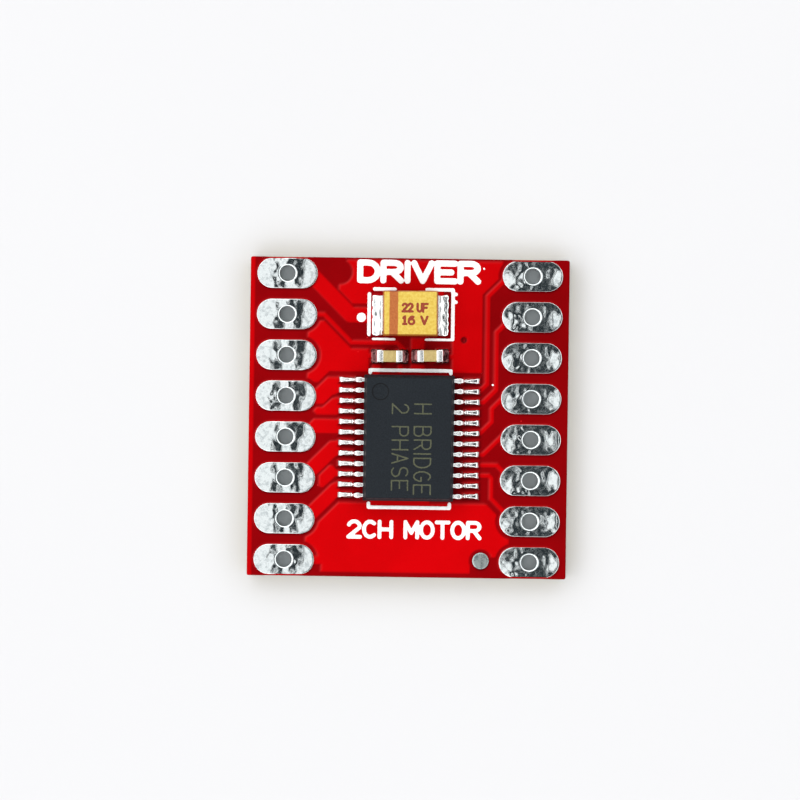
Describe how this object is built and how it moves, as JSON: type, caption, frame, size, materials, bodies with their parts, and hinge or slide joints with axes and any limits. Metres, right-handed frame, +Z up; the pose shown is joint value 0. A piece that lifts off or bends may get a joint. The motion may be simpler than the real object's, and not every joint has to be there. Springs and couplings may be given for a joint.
{
  "type": "stepper driver module",
  "caption": "Square red circuit board that carries a bridge driver chip and capacitors, with a row of plated header holes along each side.",
  "frame": {"origin": "bottom centre of the board, in the plane of the lower lands", "axes": "+Z up, out of the face with the chip; +Y towards the end with the tantalum capacitor; +X towards the logic row of holes"},
  "size_m": [0.0198, 0.0198, 0.0035],
  "materials": {
    "laminate": "woven glass and epoxy, satin",
    "copper": "etched, satin",
    "red_mask": "glossy lacquer, brighter over copper",
    "white_ink": "matte print",
    "tinned": "hot-levelled tin, glossy and uneven",
    "chip_epoxy": "matte, finely pitted",
    "lead_plating": "bright tin",
    "lead_frame": "rolled copper",
    "die_attach": "silver-filled epoxy",
    "silicon": "polished",
    "gold": "drawn wire",
    "solder": "bright, smooth",
    "yellow_epoxy": "matte moulding with a printed band",
    "tantalum": "sintered, dull",
    "ceramic": "fired, satin",
    "nickel": "thin fired metal"
  },
  "bodies": {
    "root": {"substrate": "laminate", "top_copper": "copper", "bottom_copper": "copper", "top_solder_mask": "red_mask", "bottom_solder_mask": "red_mask", "top_silkscreen": "white_ink", "bottom_silkscreen": "white_ink", "plated_vias": "copper", "test_point": "tinned", "pin_terminal_left_1": "tinned", "pin_terminal_left_2": "tinned", "pin_terminal_left_3": "tinned", "pin_terminal_left_4": "tinned", "pin_terminal_left_5": "tinned", "pin_terminal_left_6": "tinned", "pin_terminal_left_7": "tinned", "pin_terminal_left_8": "tinned", "pin_terminal_right_1": "tinned", "pin_terminal_right_2": "tinned", "pin_terminal_right_3": "tinned", "pin_terminal_right_4": "tinned", "pin_terminal_right_5": "tinned", "pin_terminal_right_6": "tinned", "pin_terminal_right_7": "tinned", "pin_terminal_right_8": "tinned", "driver_chip_body": "chip_epoxy", "driver_chip_leads_left": "lead_plating", "driver_chip_leads_right": "lead_plating", "driver_chip_paddle": "lead_frame", "driver_chip_die_attach": "die_attach", "driver_chip_die": "silicon", "driver_chip_bond_wires": "gold", "driver_chip_solder": "solder", "bulk_capacitor_body": "yellow_epoxy", "bulk_capacitor_pellet": "tantalum", "bulk_capacitor_anode_wire": "tantalum", "bulk_capacitor_anode_terminal": "lead_plating", "bulk_capacitor_cathode_terminal": "lead_plating", "bulk_capacitor_solder": "solder", "ceramic_capacitor_1_body": "ceramic", "ceramic_capacitor_1_electrodes": "nickel", "ceramic_capacitor_1_end_cap_left": "lead_plating", "ceramic_capacitor_1_end_cap_right": "lead_plating", "ceramic_capacitor_1_solder": "solder", "ceramic_capacitor_2_body": "ceramic", "ceramic_capacitor_2_electrodes": "nickel", "ceramic_capacitor_2_end_cap_left": "lead_plating", "ceramic_capacitor_2_end_cap_right": "lead_plating", "ceramic_capacitor_2_solder": "solder"}
  },
  "joints": []
}
